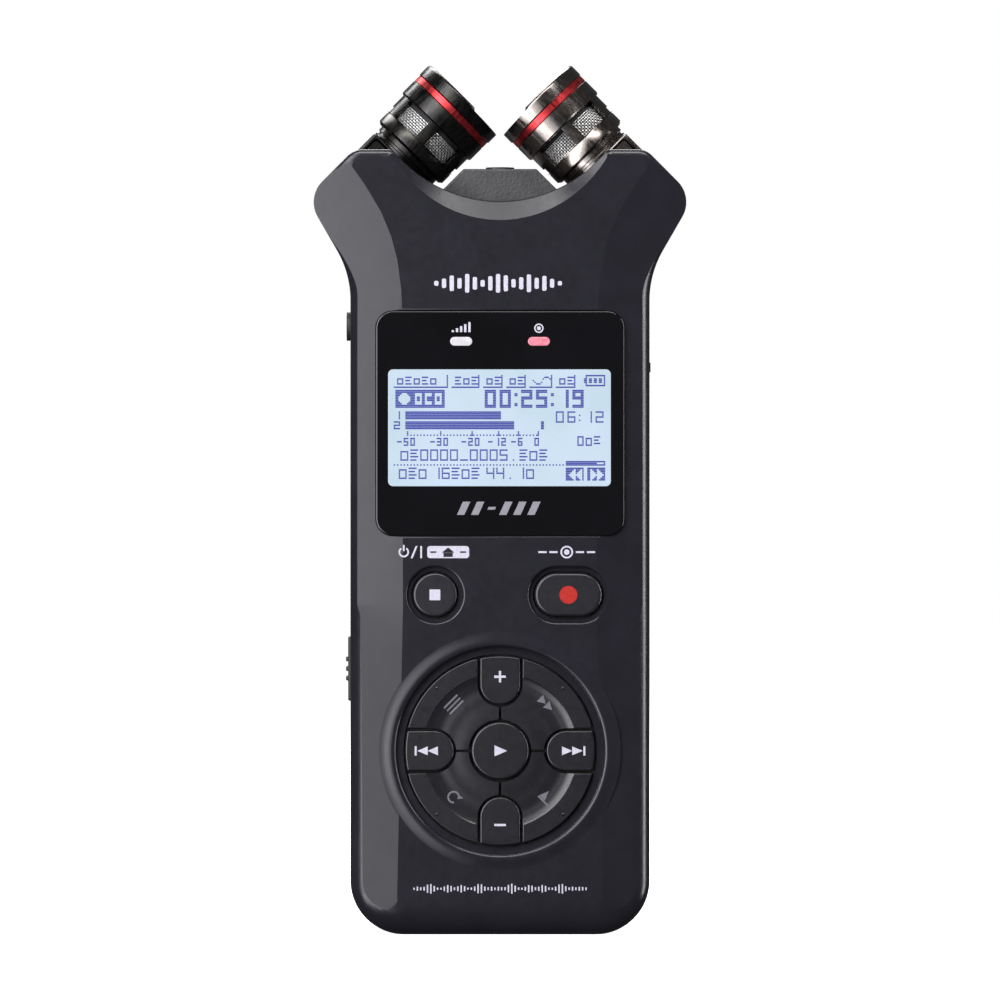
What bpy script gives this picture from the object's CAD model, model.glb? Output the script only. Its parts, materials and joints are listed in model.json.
"""Looks of a handheld stereo recorder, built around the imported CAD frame.

Shapes are worked out in millimetres and become metres when a mesh is made.
X is the recorder's width, its display faces -Y, and +Z is up.
"""

import json
import math

import bmesh
import bpy
from mathutils import Matrix, Vector


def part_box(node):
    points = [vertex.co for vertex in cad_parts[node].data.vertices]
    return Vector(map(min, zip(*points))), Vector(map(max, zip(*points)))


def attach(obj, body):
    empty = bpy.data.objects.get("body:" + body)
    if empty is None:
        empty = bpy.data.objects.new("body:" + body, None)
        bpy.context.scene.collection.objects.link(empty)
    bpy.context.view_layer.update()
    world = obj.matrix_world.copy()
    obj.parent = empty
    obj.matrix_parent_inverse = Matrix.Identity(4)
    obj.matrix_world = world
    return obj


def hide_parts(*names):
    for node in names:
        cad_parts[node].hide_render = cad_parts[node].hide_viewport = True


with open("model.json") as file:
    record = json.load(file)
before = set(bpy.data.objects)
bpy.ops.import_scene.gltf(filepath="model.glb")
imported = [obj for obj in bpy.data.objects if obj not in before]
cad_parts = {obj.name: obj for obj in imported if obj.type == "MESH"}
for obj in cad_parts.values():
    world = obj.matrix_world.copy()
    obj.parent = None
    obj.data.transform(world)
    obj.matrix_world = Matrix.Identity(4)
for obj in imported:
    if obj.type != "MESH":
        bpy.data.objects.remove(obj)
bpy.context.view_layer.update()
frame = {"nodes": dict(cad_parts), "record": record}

MM = 0.001
RECORD = frame["record"]
BODY_OF = {node: body for body, nodes in RECORD["behaviour"]["bodies"].items() for node in nodes}
SLOT_OF = {part["node"]: part["material_slot"] for part in RECORD["subparts"]}


def span(*nodes):
    """Lowest and highest corner of some CAD nodes together, in millimetres."""
    corners = [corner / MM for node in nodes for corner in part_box(node)]
    low = Vector([min(c[i] for c in corners) for i in range(3)])
    high = Vector([max(c[i] for c in corners) for i in range(3)])
    return low, high


def middle(*nodes):
    """Middle of some CAD nodes' box, in millimetres."""
    low, high = span(*nodes)
    return (low + high) / 2


def size(node):
    """Width, depth and height of a CAD node, in millimetres."""
    low, high = span(node)
    return high - low


# ---- sizes read from the frame ----

SHELL_LOW, SHELL_HIGH = span("front_shell", "rear_shell")
FRONT_Y, REAR_Y = SHELL_LOW.y, SHELL_HIGH.y
SHOULDER, CASE_H = SHELL_HIGH.x, SHELL_HIGH.z
WINDOW_LOW, WINDOW_HIGH = span("display_window")
WINDOW_W, WINDOW_H = size("display_window").x, size("display_window").z
WINDOW_Z, LCD_Z = middle("display_window").z, middle("lcd_panel").z
LCD_BACK = span("lcd_panel")[1].y
LAMPS = {node: middle(node) for node in ("peak_lamp", "record_lamp")}
WHEEL, HOME, RECORD_KEY = middle("play_key"), middle("home_key"), middle("record_key")
WHEEL_TOP_Y, UPPER_TOP_Y = span("play_key")[0].y, span("home_key")[0].y
KEY_BACK_Y = span("key_guide")[0].y + 0.1
PIN_R = size("pivot_pins").z / 2
PIVOT_X, PIVOT_Z = span("pivot_pins")[1].x - PIN_R, middle("pivot_pins").z
MAIN = BODY_OF["front_shell"]

# ---- outline of the case, seen from the front ----

HALF_W, CORNER_R = 27.2, 9.8
WAIST_Z, WAIST_R, WAIST_TURN = 115.3, 18.1, 30
TIP_R, HORN_R, LIP_R = 5.3, 3.6, 1.5
VALLEY_R, VALLEY_Z = 25.4, 158.7

# ---- soft edges: -1 is the front shell and 1 the rear shell ----

GRIP_EDGE = {-1: 6.4, 1: 6.0}
VALLEY_EDGE = {-1: 3.5, 1: 1.6}
EDGE_DEPTH = {-1: 0.52, 1: 0.7}
HORN_EDGE, LIP_EDGE = 1.4, 0.3

# ---- facets on the face: their slopes, and the (x, z) points where they start ----

FACET_SLOPE, LOW_SLOPE = 0.16, 0.125
FACET_EDGE = [(17.6, 60), (17.7, 112), (17.9, 117), (18.6, 122.5), (19.8, 127), (21.6, 131.3),
              (24.4, 136), (27.2, 140), (28.8, 142.4), (31, 145)]
FACET_LOW = [(18.8 - 0.02 * z, z) for z in range(-3, 57, 3)]

# ---- walls, wells and what stands in them ----

WALL, SEAM = 1.8, 0.14
OVER, CLEAR = 0.1, 1  # how far cutters pass the parting plane, and how far they stand out
WELL_Y = -8
SIDE_Y = -4.9  # depth of the card door's and the data socket's middle
SCREWS = [(-20.6, 13), (20.6, 13), (-21.5, 118.5), (21.5, 118.5)]
VIEW_X, VIEW_Z = -0.1, 92.1
VIEW_W, VIEW_H = 40.4, 21.2
GLASS_Y = FRONT_Y + 0.06

# ---- shape of the keys ----

WHEEL_R, RIM_R = 17.2, 19.0
PLAY_R, HOME_R = 5.24, 4.03
AXIS_KEY_W, AXIS_KEY_START = 7.3, 8.4
KEY_GAP = 0.45
RECORD_W, RECORD_H = 12.3, 8.0
DISH_START, DISH_R = 4.6, 14.1

# ---- shape of the microphones, whose axis is Z until they are placed ----

MIC_LEN = 23.4
MIC_LEAN = 45
ARM_HALF, HUB_R = 7.0, 6.8
RING_R, BORE_R = 8.88, 7.0
RIM_STEP = 0.45
NECK_Z, CAGE_Z = MIC_LEN - 16, MIC_LEN - 14.1
GATE_LOW, GATE_HIGH = MIC_LEN - 11.4, MIC_LEN - 7.3
COLLAR_TOP, RED_TOP = MIC_LEN - 4, MIC_LEN - 2.6


# ---- flat outlines: lists of (x, z), anticlockwise ----


def arc(cx, cz, radius, start, end, steps):
    """Points on an arc, from one angle to another in degrees."""
    angles = [math.radians(start + (end - start) * i / steps) for i in range(steps + 1)]
    return [(cx + radius * math.cos(a), cz + radius * math.sin(a)) for a in angles]


def disc(radius, cx=0.0, cz=0.0, steps=96):
    return arc(cx, cz, radius, 0, 360, steps)[:-1]


def rounded_rect(width, height, radius, cx=0.0, cz=0.0):
    dx, dz = width / 2 - radius, height / 2 - radius
    points = []
    for sx, sz, start in ((1, 1, 0), (-1, 1, 90), (-1, -1, 180), (1, -1, 270)):
        points += arc(cx + sx * dx, cz + sz * dz, radius, start, start + 90, 8)
    return points


def stadium(width, height, cx=0.0, cz=0.0):
    """A slot with round ends, at the sides where it is wide and at the top where it is tall."""
    r, reach = min(width, height) / 2, abs(width - height) / 2
    if width > height:
        return arc(cx + reach, cz, r, -90, 90, 32) + arc(cx - reach, cz, r, 90, 270, 32)
    return arc(cx, cz - reach, r, 180, 360, 32) + arc(cx, cz + reach, r, 0, 180, 32)


def rounded(points, radius, steps=4):
    """The same outline with each of its corners rounded."""
    made = []
    count = len(points)
    for i in range(count):
        here = Vector(points[i])
        back = (Vector(points[i - 1]) - here).normalized()
        ahead = (Vector(points[(i + 1) % count]) - here).normalized()
        bend = math.pi - back.angle(ahead)
        if bend < math.radians(20):
            made.append(tuple(here))
            continue
        room = min((Vector(end) - here).length for end in (points[i - 1], points[(i + 1) % count]))
        cut = min(radius * math.tan(bend / 2), room * 0.45)
        start, end = here + back * cut, here + ahead * cut
        for k in range(steps + 1):
            t = k / steps
            made.append(tuple(start * (1 - t) ** 2 + here * 2 * t * (1 - t) + end * t**2))
    return made


def grown(points, distance):
    """The outline moved outward by a distance, or inward where it is negative."""
    count = len(points)
    made = []
    for i in range(count):
        here = Vector(points[i])
        before = here - Vector(points[i - 1])
        after = Vector(points[(i + 1) % count]) - here
        if before.length < 1e-6 or after.length < 1e-6:
            before = after = before if before.length > after.length else after
        n1 = Vector((before.y, -before.x)).normalized()
        n2 = Vector((after.y, -after.x)).normalized()
        corner = (n1 + n2) / max(0.3, 1 + n1.dot(n2))
        made.append(tuple(here + corner * distance))
    return made


def turned(points, degrees, cx=0.0, cz=0.0):
    """The outline turned clockwise about the origin, then moved."""
    c, s = math.cos(math.radians(degrees)), math.sin(math.radians(degrees))
    return [(cx + x * c + z * s, cz - x * s + z * c) for x, z in points]


# ---- solids: pairs of (vertices, faces) ----


def loft(rings, closed=False, caps=True):
    """Skin over rings of points that have equal counts."""
    count = len(rings[0])
    verts = [p for ring in rings for p in ring]
    faces = []
    last = len(rings) if closed else len(rings) - 1
    for r in range(last):
        low, high = r * count, ((r + 1) % len(rings)) * count
        for i in range(count):
            j = (i + 1) % count
            faces.append((low + i, low + j, high + j, high + i))
    if caps and not closed:
        faces.append(tuple(range(count)))
        faces.append(tuple((len(rings) - 1) * count + i for i in range(count)))
    return verts, faces


def at_depth(points, y):
    return [(x, y, z) for x, z in points]


def plate(points, front, back, front_r=0.0, back_r=0.0, steps=4):
    """A slab along Y with soft front and back edges."""

    def edge(y, radius, way):
        """Rings from a face to the side wall; way is the direction into the slab."""
        if not radius:
            return [at_depth(points, y)]
        rings = [at_depth(grown(points, -radius - 0.05), y)]
        for i in range(steps):
            a = math.radians(90 * i / steps)
            inset, drop = radius * (1 - math.sin(a)), radius * (1 - math.cos(a))
            rings.append(at_depth(grown(points, -inset), y + way * drop))
        return rings + [at_depth(points, y + way * radius)]

    return loft(edge(front, front_r, 1) + edge(back, back_r, -1)[::-1])


def lathe(profile, steps=128, closed=True):
    """A turned part around Z from (radius, z) points."""
    return loft([[(x, y, z) for x, y in disc(r, steps=steps)] for r, z in profile], closed=closed)


def box(low, high):
    (x0, y0, z0), (x1, y1, z1) = low, high
    return loft([[(x0, y, z0), (x1, y, z0), (x1, y, z1), (x0, y, z1)] for y in (y0, y1)])


def dented(points, lip_w, lip_d, depth, steps=8):
    """Cutter for a hole in the face whose mouth flares outward with a soft lip."""
    first = math.radians(14)
    mouth = grown(points, lip_w * 1.25)
    rings = [at_depth(mouth, FRONT_Y - CLEAR), at_depth(mouth, FRONT_Y - 0.06)]
    for i in range(steps + 1):
        a = first + (math.pi / 2 - first) * i / steps
        out = lip_w * (1 - math.sin(a)) / (1 - math.sin(first))
        drop = lip_d * (math.cos(first) - math.cos(a)) / math.cos(first)
        rings.append(at_depth(grown(points, out), FRONT_Y + drop))
    rings.append(at_depth(points, FRONT_Y + depth))
    return loft(rings)


def moved(solid, matrix):
    """A solid moved by a matrix that is in millimetres."""
    verts, faces = solid
    return [tuple(matrix @ Vector(v)) for v in verts], faces


def along_x(solid):
    """Turns a solid that is made along Y so that it lies along X."""
    verts, faces = solid
    return [(y, x, z) for x, y, z in verts], faces


def joined(*solids):
    verts, faces = [], []
    for v, f in solids:
        faces += [tuple(i + len(verts) for i in face) for face in f]
        verts += v
    return verts, faces


def tube(path, radius, closed=False):
    """A thin four-sided wire through points."""
    rings = []
    count = len(path)
    up = Vector((0.3, 0.5, 0.81)).normalized()
    for i in range(count):
        p = Vector(path[i])
        ahead = Vector(path[(i + 1) % count] if closed or i < count - 1 else path[i])
        behind = Vector(path[i - 1] if closed or i > 0 else path[i])
        along = (ahead - behind).normalized()
        side = along.cross(up).normalized()
        over = side.cross(along)
        rings.append([tuple(p + side * radius * c + over * radius * s) for c, s in disc(1, steps=4)])
    return loft(rings, closed=closed)


# ---- objects ----


def as_object(name, solid, matrix=None):
    """A mesh object with outward normals; it stays in millimetres until finish_piece."""
    verts, faces = solid
    mesh = bpy.data.meshes.new(name)
    mesh.from_pydata(verts, [], faces)
    bm = bmesh.new()
    bm.from_mesh(mesh)
    bmesh.ops.remove_doubles(bm, verts=bm.verts, dist=1e-4)
    bmesh.ops.recalc_face_normals(bm, faces=bm.faces)
    bm.to_mesh(mesh)
    bm.free()
    obj = bpy.data.objects.new(name, mesh)
    bpy.context.scene.collection.objects.link(obj)
    if matrix is not None:
        obj.matrix_world = matrix
    return obj


def baked(obj):
    """Applies an object's modifiers to its mesh."""
    bpy.context.view_layer.update()
    graph = bpy.context.evaluated_depsgraph_get()
    mesh = bpy.data.meshes.new_from_object(obj.evaluated_get(graph))
    obj.modifiers.clear()
    obj.data = mesh
    return obj


def carve(obj, *cutters, tolerant=False):
    """Cuts solids out of an object, one after the other; tolerant copes with tight inner corners."""
    helpers = [as_object(f"cutter_{i}", cutter, obj.matrix_world) for i, cutter in enumerate(cutters)]
    for helper in helpers:
        cut = obj.modifiers.new("cut", "BOOLEAN")
        cut.operation = "DIFFERENCE"
        cut.solver = "EXACT"
        cut.use_self = tolerant
        cut.object = helper
    baked(obj)
    for helper in helpers:
        bpy.data.objects.remove(helper)
    return obj


def soften(obj, width):
    """Rounds the sharp edges that are left after cutting."""
    bevel = obj.modifiers.new("soften", "BEVEL")
    bevel.width = width
    bevel.segments = 2
    bevel.limit_method = "ANGLE"
    bevel.angle_limit = math.radians(50)
    return baked(obj)


def finish_piece(obj, material, node=None, body=None, sharp=32):
    """Turns a piece into metres, shades it, gives it its material and puts it on its body."""
    obj.data.transform(Matrix.Scale(MM, 4))
    obj.data.polygons.foreach_set("use_smooth", [True] * len(obj.data.polygons))
    obj.data.set_sharp_from_angle(angle=math.radians(sharp))
    obj.data.materials.clear()
    obj.data.materials.append(material)
    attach(obj, body or BODY_OF[node])
    if node:
        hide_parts(node)
    return obj


def piece(name, solid, material, node=None, body=None, matrix=None, sharp=32):
    """A finished piece from a solid that needs no cutting."""
    return finish_piece(as_object(name, solid, matrix), material, node, body, sharp)


# ---- materials ----


class Paint:
    """Builds one procedural material: a Principled shader and the nodes that feed it."""

    def __init__(self, name, colour, roughness, metallic=0.0, coat=0.0, coat_roughness=0.05, emission=0.0):
        self.material = bpy.data.materials.new(name)
        self.material.use_nodes = True
        self.tree = self.material.node_tree
        self.shader = self.tree.nodes["Principled BSDF"]
        self.set(self.shader, {"Base Color": (*colour, 1), "Roughness": roughness, "Metallic": metallic,
                               "Coat Weight": coat, "Coat Roughness": coat_roughness,
                               "Emission Strength": emission})
        self.height = None

    def set(self, node, values):
        for socket, value in values.items():
            node.inputs[socket].default_value = value

    def add(self, kind, values=None, **settings):
        """A node with its sockets' values and its own settings."""
        node = self.tree.nodes.new("ShaderNode" + kind)
        for key, value in settings.items():
            setattr(node, key, value)
        self.set(node, values or {})
        return node

    def link(self, source, target):
        self.tree.links.new(source, target)

    def placed(self, node, stretch=(1, 1, 1)):
        """Gives a texture node object coordinates, with each axis scaled."""
        mapping = self.add("Mapping", {"Scale": stretch})
        self.link(self.add("TexCoord").outputs["Object"], mapping.inputs["Vector"])
        self.link(mapping.outputs["Vector"], node.inputs["Vector"])
        return node

    def noise(self, size, detail=2.0, stretch=(1, 1, 1)):
        """Soft noise with features of a size in millimetres."""
        node = self.add("TexNoise", {"Scale": 1 / (size * MM), "Detail": detail})
        return self.placed(node, stretch).outputs["Fac"]

    def cells(self, size):
        """Distance to the nearest cell centre, for leathery or cast grain."""
        return self.placed(self.add("TexVoronoi", {"Scale": 1 / (size * MM)})).outputs["Distance"]

    def bands(self, size, axis):
        """Soft stripes across an axis, each as wide as a size in millimetres."""
        node = self.add("TexWave", {"Scale": 1 / (size * MM) / 6.4}, bands_direction=axis)
        return self.placed(node).outputs["Fac"]

    def remap(self, value, low, high, first=0.3, last=0.7):
        node = self.add("MapRange", {"From Min": first, "From Max": last, "To Min": low, "To Max": high})
        self.link(value, node.inputs["Value"])
        return node.outputs["Result"]

    def tint(self, factor, low, high, socket="Base Color"):
        """Colour that runs from low to high with a factor."""
        node = self.add("Mix", {6: (*low, 1), 7: (*high, 1)}, data_type="RGBA")
        self.link(factor, node.inputs[0])
        self.link(node.outputs[2], self.shader.inputs[socket])

    def drift(self, size, detail, low, high, socket="Base Color"):
        """Colour that drifts between low and high in soft patches of a size in millimetres."""
        self.tint(self.remap(self.noise(size, detail), 0, 1), low, high, socket)

    def rough(self, factor, low, high):
        self.link(self.remap(factor, low, high), self.shader.inputs["Roughness"])

    def relief(self, value, depth, strength):
        """Adds bumps with a depth in millimetres over those that are already there."""
        node = self.add("Bump", {"Strength": strength, "Distance": depth * MM})
        self.link(value, node.inputs["Height"])
        if self.height is not None:
            self.link(self.height, node.inputs["Normal"])
        self.height = node.outputs["Normal"]
        self.link(self.height, self.shader.inputs["Normal"])


def shade(colour, factor):
    return tuple(min(1.0, c * factor) for c in colour)


def moulded(name, colour, roughness=0.42, grain=0.16, depth=0.012, mottle=0.12, coat=0.0):
    """Moulded plastic: fine spark grain, faint mottling and uneven sheen."""
    paint = Paint(name, colour, roughness, coat=coat, coat_roughness=0.25)
    paint.drift(6.0, 3, shade(colour, 1 - mottle), shade(colour, 1 + mottle))
    paint.rough(paint.noise(1.3, 4), roughness - 0.03, roughness + 0.04)
    paint.relief(paint.cells(grain), depth, 0.5)
    paint.relief(paint.noise(grain * 0.6), depth * 0.6, 0.4)
    return paint.material


def acrylic(name, colour):
    """Polished black acrylic with hairline scratches and a faint waviness."""
    paint = Paint(name, colour, 0.07, coat=0.6, coat_roughness=0.02)
    paint.drift(9.0, 2, shade(colour, 0.8), shade(colour, 1.25))
    paint.rough(paint.noise(0.25, 3, (1, 1, 0.06)), 0.05, 0.11)
    paint.relief(paint.noise(4.0, 1), 0.004, 0.3)
    return paint.material


def plated(name, colour, roughness, tone):
    """Plated metal: turning marks round the part's own axis and drifting colour."""
    paint = Paint(name, colour, roughness, metallic=1.0)
    paint.drift(3.0, 3, shade(colour, 0.85), tuple(c * t for c, t in zip(colour, tone)))
    paint.rough(paint.noise(0.5, 4, (1, 1, 0.25)), roughness * 0.7, roughness * 1.4)
    paint.relief(paint.noise(0.12, 2, (0.05, 0.05, 1)), 0.0005, 0.3)
    paint.relief(paint.noise(2.4, 1), 0.004, 0.15)
    return paint.material


def steel(name, colour, roughness):
    """Bare metal with drawn lines and small stains."""
    paint = Paint(name, colour, roughness, metallic=1.0)
    paint.drift(1.6, 4, shade(colour, 0.78), shade(colour, 1.1))
    paint.rough(paint.noise(0.7, 4), roughness * 0.75, roughness * 1.35)
    paint.relief(paint.noise(0.14, 3, (1, 1, 0.08)), 0.006, 0.4)
    return paint.material


def ink(name, colour, roughness=0.5):
    """Screen-printed ink: slightly thin in places, with a fine tooth."""
    paint = Paint(name, colour, roughness)
    paint.drift(0.5, 4, shade(colour, 0.86), shade(colour, 1.06))
    paint.rough(paint.noise(0.3, 3), roughness - 0.08, roughness + 0.1)
    paint.relief(paint.noise(0.1), 0.004, 0.4)
    return paint.material


def glowing(name, low, high, strength, roughness=0.25, size=3.0):
    """A backlit surface whose glow is a little uneven."""
    paint = Paint(name, high, roughness, coat=1.0, coat_roughness=0.03, emission=strength)
    paint.drift(size, 2, shade(low, 0.12), shade(high, 0.12))
    paint.drift(size, 2, low, high, "Emission Color")
    paint.rough(paint.noise(0.4, 3), roughness - 0.06, roughness + 0.06)
    paint.relief(paint.noise(0.15), 0.003, 0.3)
    return paint.material


def cloth(name, colour):
    """Acoustic cloth: a fine over-and-under weave."""
    paint = Paint(name, colour, 0.85)
    weave = paint.add("Math", operation="MULTIPLY")
    for i, axis in enumerate("XZ"):
        paint.link(paint.bands(0.22, axis), weave.inputs[i])
    paint.tint(weave.outputs[0], shade(colour, 0.5), shade(colour, 1.3))
    paint.relief(weave.outputs[0], 0.06, 0.8)
    return paint.material


def circuit_board(name):
    """Solder mask over copper traces, with a fine glass weave."""
    paint = Paint(name, (0.01, 0.12, 0.045), 0.35, coat=0.4)
    traces = paint.placed(paint.add("TexBrick", {"Scale": 900, "Mortar Size": 0.03})).outputs["Fac"]
    paint.tint(traces, (0.008, 0.1, 0.035), (0.03, 0.22, 0.08))
    paint.relief(traces, 0.03, 0.6)
    paint.rough(paint.noise(0.4, 3), 0.28, 0.42)
    paint.relief(paint.noise(0.12), 0.006, 0.3)
    return paint.material


def cell_wrap(name):
    """Printed shrink film of a battery cell: a dark body between metallic bands."""
    paint = Paint(name, (0.05, 0.12, 0.2), 0.25, metallic=0.5, coat=0.5)
    bands = paint.remap(paint.bands(22.0, "Z"), 0, 1, 0.46, 0.54)
    paint.tint(bands, (0.02, 0.05, 0.12), (0.55, 0.42, 0.2))
    paint.rough(paint.noise(1.0, 3), 0.2, 0.36)
    paint.relief(paint.noise(1.8, 2, (1, 1, 0.3)), 0.01, 0.3)
    return paint.material


CASE = moulded("case_plastic", (0.017, 0.0162, 0.0222), 0.22, grain=0.13, depth=0.0022)
REAR = moulded("rear_plastic", (0.020, 0.019, 0.025), 0.4, grain=0.2, depth=0.014)
BRIDGE = moulded("bridge_plastic", (0.052, 0.049, 0.052), 0.5, grain=0.5, depth=0.09, mottle=0.3)
INNER = moulded("inner_plastic", (0.03, 0.03, 0.032), 0.5, grain=0.25, depth=0.015)
WHITE = moulded("white_plastic", (0.75, 0.75, 0.72), 0.45, grain=0.3)
CARD = moulded("card_plastic", (0.03, 0.03, 0.05), 0.35, grain=0.2)
CHIP = moulded("chip_black", (0.02, 0.02, 0.022), 0.55, grain=0.1)
RUBBER = moulded("soft_rubber", (0.02, 0.02, 0.022), 0.65, grain=0.1, depth=0.02)
KEY = moulded("key_plastic", (0.016, 0.015, 0.020), 0.3, grain=0.1, depth=0.004, coat=0.25)
WHEEL_KEY = moulded("wheel_plastic", (0.013, 0.0125, 0.016), 0.3, grain=0.1, depth=0.004, coat=0.25)
WINDOW = acrylic("window_black", (0.0035, 0.003, 0.0042))
LCD = glowing("lcd_light", (0.60, 0.76, 0.87), (0.68, 0.82, 0.98), 0.85, size=9.0)
LCD_INK = ink("lcd_dots", (0.035, 0.045, 0.32), 0.4)
LAMP_WHITE = glowing("lamp_white", (0.80, 0.78, 0.84), (0.95, 0.92, 0.98), 0.85, 0.35, 0.6)
LAMP_RED = glowing("lamp_red", (0.86, 0.20, 0.30), (1.0, 0.36, 0.44), 0.9, 0.35, 0.6)
BACKLIGHT = glowing("backlight", (0.8, 0.85, 0.9), (0.95, 0.98, 1.0), 0.3, 0.5)
BLACK_METAL = plated("black_metal", (0.040, 0.038, 0.040), 0.26, tone=(1.3, 1.3, 1.1))
DARK_CHROME = plated("dark_chrome", (0.24, 0.22, 0.21), 0.2, tone=(1.15, 1.08, 1.0))
RED_RING = plated("red_ring", (0.62, 0.045, 0.05), 0.32, tone=(1.15, 1.4, 1.4))
WIRE = steel("mesh_wire", (0.92, 0.90, 0.89), 0.42)
CLOTH = cloth("acoustic_cloth", (0.05, 0.05, 0.052))
BRIGHT_STEEL = steel("bright_steel", (0.62, 0.61, 0.6), 0.25)
DARK_STEEL = steel("dark_steel", (0.09, 0.09, 0.1), 0.35)
BRASS = steel("brass", (0.7, 0.5, 0.22), 0.3)
BOARD = circuit_board("circuit_board")
CELL = cell_wrap("cell_wrap")
PRINT_PALE = ink("print_pale", (0.66, 0.63, 0.74))
PRINT_GREY = ink("print_grey", (0.17, 0.165, 0.19))
PRINT_RED = ink("print_red", (0.52, 0.03, 0.022), 0.3)
PRINT_BADGE = ink("print_light_grey", (0.30, 0.29, 0.33))

BY_SLOT = {
    "case_plastic": CASE, "bridge_plastic": BRIDGE, "window_plastic": WINDOW, "lcd_glass": LCD,
    "white_plastic": WHITE, "clear_plastic": BACKLIGHT, "red_lamp": LAMP_RED, "key_plastic": KEY,
    "wheel_plastic": WHEEL_KEY, "inner_plastic": INNER, "circuit_board": BOARD,
    "chip_black": CHIP, "bright_steel": BRIGHT_STEEL, "dark_steel": DARK_STEEL, "brass": BRASS,
    "card_plastic": CARD, "cell_wrap": CELL, "black_metal": BLACK_METAL,
    "dark_chrome": DARK_CHROME, "red_ring": RED_RING, "wire_mesh": WIRE, "soft_rubber": RUBBER,
}


# ---- case ----


def bend(cx, cz, r, start, end, steps, facing=1):
    """Points on an arc, each with its outward normal; facing is -1 where the arc is hollow."""
    return [(cx + r * x, cz + r * z, facing * x, facing * z) for x, z in arc(0, 0, 1, start, end, steps)]


def filled(path):
    """The path with each None replaced by a point on the straight line that it stands in."""
    made = list(path)
    known = [i for i, p in enumerate(path) if p is not None]
    for first, last in zip(known, known[1:]):
        for i in range(first + 1, last):
            t = (i - first) / (last - first)
            made[i] = tuple(a * (1 - t) + b * t for a, b in zip(path[first], path[last]))
    return made


def case_outline(face):
    """The case's outline from the bottom middle round its right side, then mirrored.

    Each point carries its outward normal, the width of its soft edge, and how flat that edge is.
    face is -1 for the front shell and 1 for the rear shell.
    """
    waist_cx = HALF_W + WAIST_R
    turn = math.radians(WAIST_TURN)
    flare_x = waist_cx - WAIST_R * math.cos(turn)
    flare_z = WAIST_Z + WAIST_R * math.sin(turn)
    tip_x = SHOULDER - TIP_R
    tip_z = flare_z + (TIP_R + (tip_x - flare_x) * math.cos(turn)) / math.sin(turn)
    horn_z = CASE_H - HORN_R
    horn_x = tip_x + tip_z - horn_z + (TIP_R - HORN_R) * math.sqrt(2)
    lip_z = CASE_H - LIP_R
    lip_x = math.sqrt((VALLEY_R + LIP_R) ** 2 - (VALLEY_Z - lip_z) ** 2)
    lip_turn = math.degrees(math.atan2(VALLEY_Z - lip_z, lip_x))

    path = [(0.0, 0.0, 0.0, -1.0)] + [None] * 5
    path += bend(HALF_W - CORNER_R, CORNER_R, CORNER_R, -90, 0, 20) + [None] * 26
    path += bend(waist_cx, WAIST_Z, WAIST_R, 180, 180 - WAIST_TURN, 12, -1) + [None] * 3
    path += bend(tip_x, tip_z, TIP_R, -WAIST_TURN, 45, 14) + [None] * 2
    path += bend(horn_x, horn_z, HORN_R, 45, 90, 10) + [None]
    lip_start = len(path)
    path += bend(lip_x, lip_z, LIP_R, 90, 180 - lip_turn, 8)
    valley_start = len(path)
    path += bend(0, VALLEY_Z, VALLEY_R, -lip_turn, -90, 36, -1)[1:]

    right = []
    for i, (x, z, nx, nz) in enumerate(filled(path)):
        if i < lip_start:
            width, flat = outer_edge(face, z), 0.0
        elif i < valley_start:
            flat = (i - lip_start) / (valley_start - lip_start)
            width = HORN_EDGE * (1 - flat) + LIP_EDGE * flat
        else:
            flat = 1.0
            width = LIP_EDGE + (VALLEY_EDGE[face] - LIP_EDGE) * (1 - (x / lip_x) ** 2)
        right.append({"x": x, "z": z, "nx": nx, "nz": nz, "width": width, "flat": flat})
    left = [dict(p, x=-p["x"], nx=-p["nx"]) for p in right[-2:0:-1]]
    return right + left


def outer_edge(face, z):
    """Width of the soft edge outside, which narrows from the waist up to the horns."""
    above = max(0.0, (z - WAIST_Z - 2) / (CASE_H - WAIST_Z - 2))
    return GRIP_EDGE[face] - (GRIP_EDGE[face] - HORN_EDGE) * min(1.0, above) ** 0.9


def facet(side):
    """Cuts the shallow facet along one side of the face, from the bottom up to the horn."""
    reach, clear, lean = 40, 3, 0.4
    rings = []
    for x, z in FACET_LOW + FACET_EDGE:
        slope = LOW_SLOPE if z < FACET_EDGE[0][1] else FACET_SLOPE
        rings.append([(side * x, FRONT_Y, z), (side * (x - lean), FRONT_Y - clear, z),
                      (side * reach, FRONT_Y - clear, z), (side * reach, FRONT_Y + slope * (reach - x), z)])
    return loft(rings)


def case_half(face):
    """Solid half of the case: soft outer edge, crescent bevel, and a fine groove at the seam."""
    points = case_outline(face)
    face_y = FRONT_Y if face < 0 else REAR_Y
    steps = 14

    def ring(rounded_edge, flat_edge, support=0.0):
        """One ring; each edge is its (inset, drop) as a share of the edge's width."""
        made = []
        for p in points:
            inset, drop = [(1 - p["flat"]) * a + p["flat"] * b for a, b in zip(rounded_edge, flat_edge)]
            move = inset * p["width"] + support * min(1.0, p["width"])
            y = face_y - face * drop * p["width"] * EDGE_DEPTH[face]
            made.append((p["x"] - p["nx"] * move, y, p["z"] - p["nz"] * move))
        return made

    rings = [ring((1, 0), (1, 0), 0.22)]
    for i in range(steps + 1):
        a = math.pi / 2 * i / steps
        share = a / (math.pi / 2)
        rings.append(ring((1 - math.sin(a), 1 - math.cos(a)), (1 - share, share)))
    inner = [(p["x"] - p["nx"] * SEAM, p["z"] - p["nz"] * SEAM) for p in points]
    rings.append(at_depth([(p["x"], p["z"]) for p in points], face * 2 * SEAM))
    rings.append(at_depth(inner, face * SEAM))
    rings.append(at_depth(inner, 0.0))
    return loft(rings)


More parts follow.
